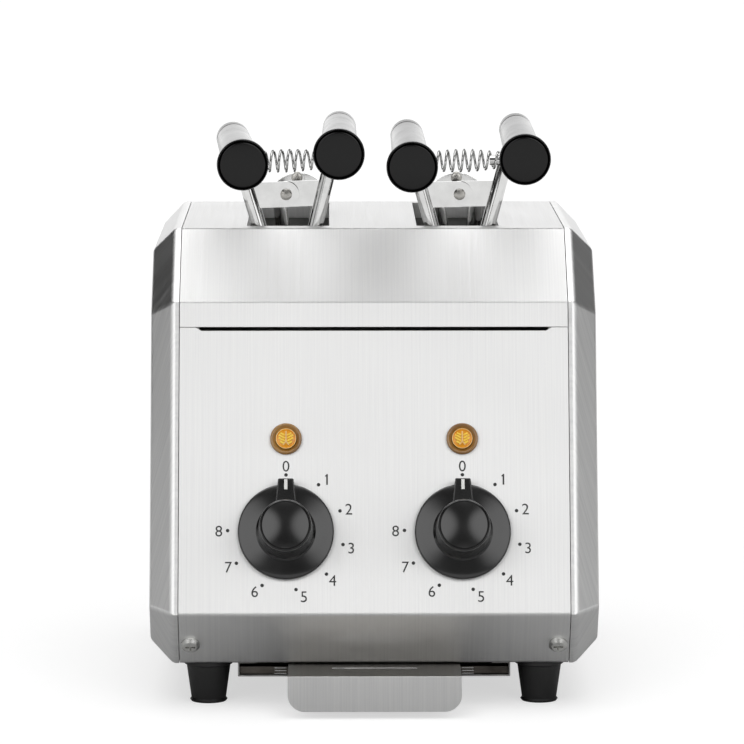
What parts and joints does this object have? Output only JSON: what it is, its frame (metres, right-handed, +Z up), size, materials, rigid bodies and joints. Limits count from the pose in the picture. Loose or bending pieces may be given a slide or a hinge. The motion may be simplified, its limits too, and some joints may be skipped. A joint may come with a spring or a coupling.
{
  "type": "sandwich toaster",
  "caption": "Countertop toaster with slots on top, spring tongs that hold the sandwiches, clockwork timers and a pull-out crumb tray.",
  "frame": {"origin": "on the bench, under the middle of the box that holds the whole appliance", "axes": "+X to the right seen from the front, +Y to the back, +Z up"},
  "size_m": [0.2398, 0.3006, 0.313],
  "materials": {
    "brushed_steel": "brushed",
    "inner_steel": "mill",
    "reflector_steel": "bright rolled",
    "quartz": "clear tube with ceramic caps",
    "plated_wire": "polished",
    "chrome_rod": "polished",
    "foot_rubber": "moulded",
    "screw_steel": "nickel plated",
    "timer_case": "moulded",
    "brass": "turned",
    "knob_plastic": "moulded, glossy",
    "bezel_amber": "translucent",
    "lens_amber": "translucent",
    "terminal_ceramic": "unglazed",
    "gland_nylon": "moulded",
    "grip_plastic": "moulded, glossy",
    "spring_steel": "drawn"
  },
  "bodies": {
    "root": {"control_panel": "brushed_steel", "top_cover": "brushed_steel", "rear_panel": "brushed_steel", "left_side_cover": "brushed_steel", "right_side_cover": "brushed_steel", "left_side_frame": "inner_steel", "right_side_frame": "inner_steel", "base_plate": "inner_steel", "front_chamber_wall": "inner_steel", "rear_chamber_wall": "inner_steel", "left_reflector": "reflector_steel", "centre_reflector": "reflector_steel", "right_reflector": "reflector_steel", "left_outer_heaters": "quartz", "left_inner_heaters": "quartz", "right_inner_heaters": "quartz", "right_outer_heaters": "quartz", "left_wire_guards": "plated_wire", "right_wire_guards": "plated_wire", "left_wire_rest": "plated_wire", "right_wire_rest": "plated_wire", "tray_housing": "inner_steel", "front_left_foot": "foot_rubber", "front_right_foot": "foot_rubber", "rear_left_foot": "foot_rubber", "rear_right_foot": "foot_rubber", "foot_screws": "screw_steel", "front_screws": "screw_steel", "rear_screws": "screw_steel", "left_timer": "timer_case", "right_timer": "timer_case", "timer_nuts": "brass", "left_lamp_bezel": "bezel_amber", "right_lamp_bezel": "bezel_amber", "left_lamp_lens": "lens_amber", "right_lamp_lens": "lens_amber", "terminal_block": "terminal_ceramic", "cable_gland": "gland_nylon"},
    "left_timer_knob": {"left_knob": "knob_plastic", "left_timer_shaft": "screw_steel"},
    "right_timer_knob": {"right_knob": "knob_plastic", "right_timer_shaft": "screw_steel"},
    "tray": {"crumb_tray": "brushed_steel"},
    "left_tongs": {"left_tongs_rivets": "chrome_rod", "left_tongs_spring": "spring_steel"},
    "left_tongs_outer": {"left_tongs_outer_jaw": "chrome_rod", "left_tongs_outer_lattice": "chrome_rod", "left_tongs_outer_grip": "grip_plastic"},
    "left_tongs_inner": {"left_tongs_inner_jaw": "chrome_rod", "left_tongs_inner_lattice": "chrome_rod", "left_tongs_inner_grip": "grip_plastic"},
    "right_tongs": {"right_tongs_rivets": "chrome_rod", "right_tongs_spring": "spring_steel"},
    "right_tongs_outer": {"right_tongs_outer_jaw": "chrome_rod", "right_tongs_outer_lattice": "chrome_rod", "right_tongs_outer_grip": "grip_plastic"},
    "right_tongs_inner": {"right_tongs_inner_jaw": "chrome_rod", "right_tongs_inner_lattice": "chrome_rod", "right_tongs_inner_grip": "grip_plastic"}
  },
  "joints": [
    {"name": "left_timer_turn", "type": "hinge", "parent": "root", "child": "left_timer_knob", "pos_m": [-0.047, -0.11866, 0.09483], "axis": [0, 0.9563, -0.2924], "range_deg": [0, 272]},
    {"name": "right_timer_turn", "type": "hinge", "parent": "root", "child": "right_timer_knob", "pos_m": [0.047, -0.11866, 0.09483], "axis": [0, 0.9563, -0.2924], "range_deg": [0, 272]},
    {"name": "crumb_tray_slide", "type": "slide", "parent": "root", "child": "tray", "axis": [0, -1, 0], "range_m": [0, 0.2]},
    {"name": "left_tongs_lift", "type": "slide", "parent": "root", "child": "left_tongs", "axis": [0, 0, 1], "range_m": [0, 0.13]},
    {"name": "left_tongs_outer_squeeze", "type": "hinge", "parent": "left_tongs", "child": "left_tongs_outer", "pos_m": [-0.0474, -0.01852, 0.26694], "axis": [0.0436, 0.999, 0], "range_deg": [0, 4], "stiffness_Nm_per_rad": 1.5, "springref_deg": -20.05, "deforming": ["left_tongs_spring"]},
    {"name": "left_tongs_inner_squeeze", "type": "hinge", "parent": "left_tongs", "child": "left_tongs_inner", "pos_m": [-0.0474, -0.01852, 0.26694], "axis": [-0.0436, -0.999, 0], "range_deg": [0, 4], "stiffness_Nm_per_rad": 1.5, "springref_deg": -20.05},
    {"name": "right_tongs_lift", "type": "slide", "parent": "root", "child": "right_tongs", "axis": [0, 0, 1], "range_m": [0, 0.13]},
    {"name": "right_tongs_outer_squeeze", "type": "hinge", "parent": "right_tongs", "child": "right_tongs_outer", "pos_m": [0.0476, -0.01852, 0.26694], "axis": [-0.0113, -0.9999, 0], "range_deg": [0, 4], "stiffness_Nm_per_rad": 1.5, "springref_deg": -20.05, "deforming": ["right_tongs_spring"]},
    {"name": "right_tongs_inner_squeeze", "type": "hinge", "parent": "right_tongs", "child": "right_tongs_inner", "pos_m": [0.0476, -0.01852, 0.26694], "axis": [0.0113, 0.9999, 0], "range_deg": [0, 4], "stiffness_Nm_per_rad": 1.5, "springref_deg": -20.05}
  ],
  "couplings": [
    {"joint": "left_tongs_inner_squeeze", "follows": "left_tongs_outer_squeeze", "ratio": 1},
    {"joint": "right_tongs_inner_squeeze", "follows": "right_tongs_outer_squeeze", "ratio": 1}
  ]
}
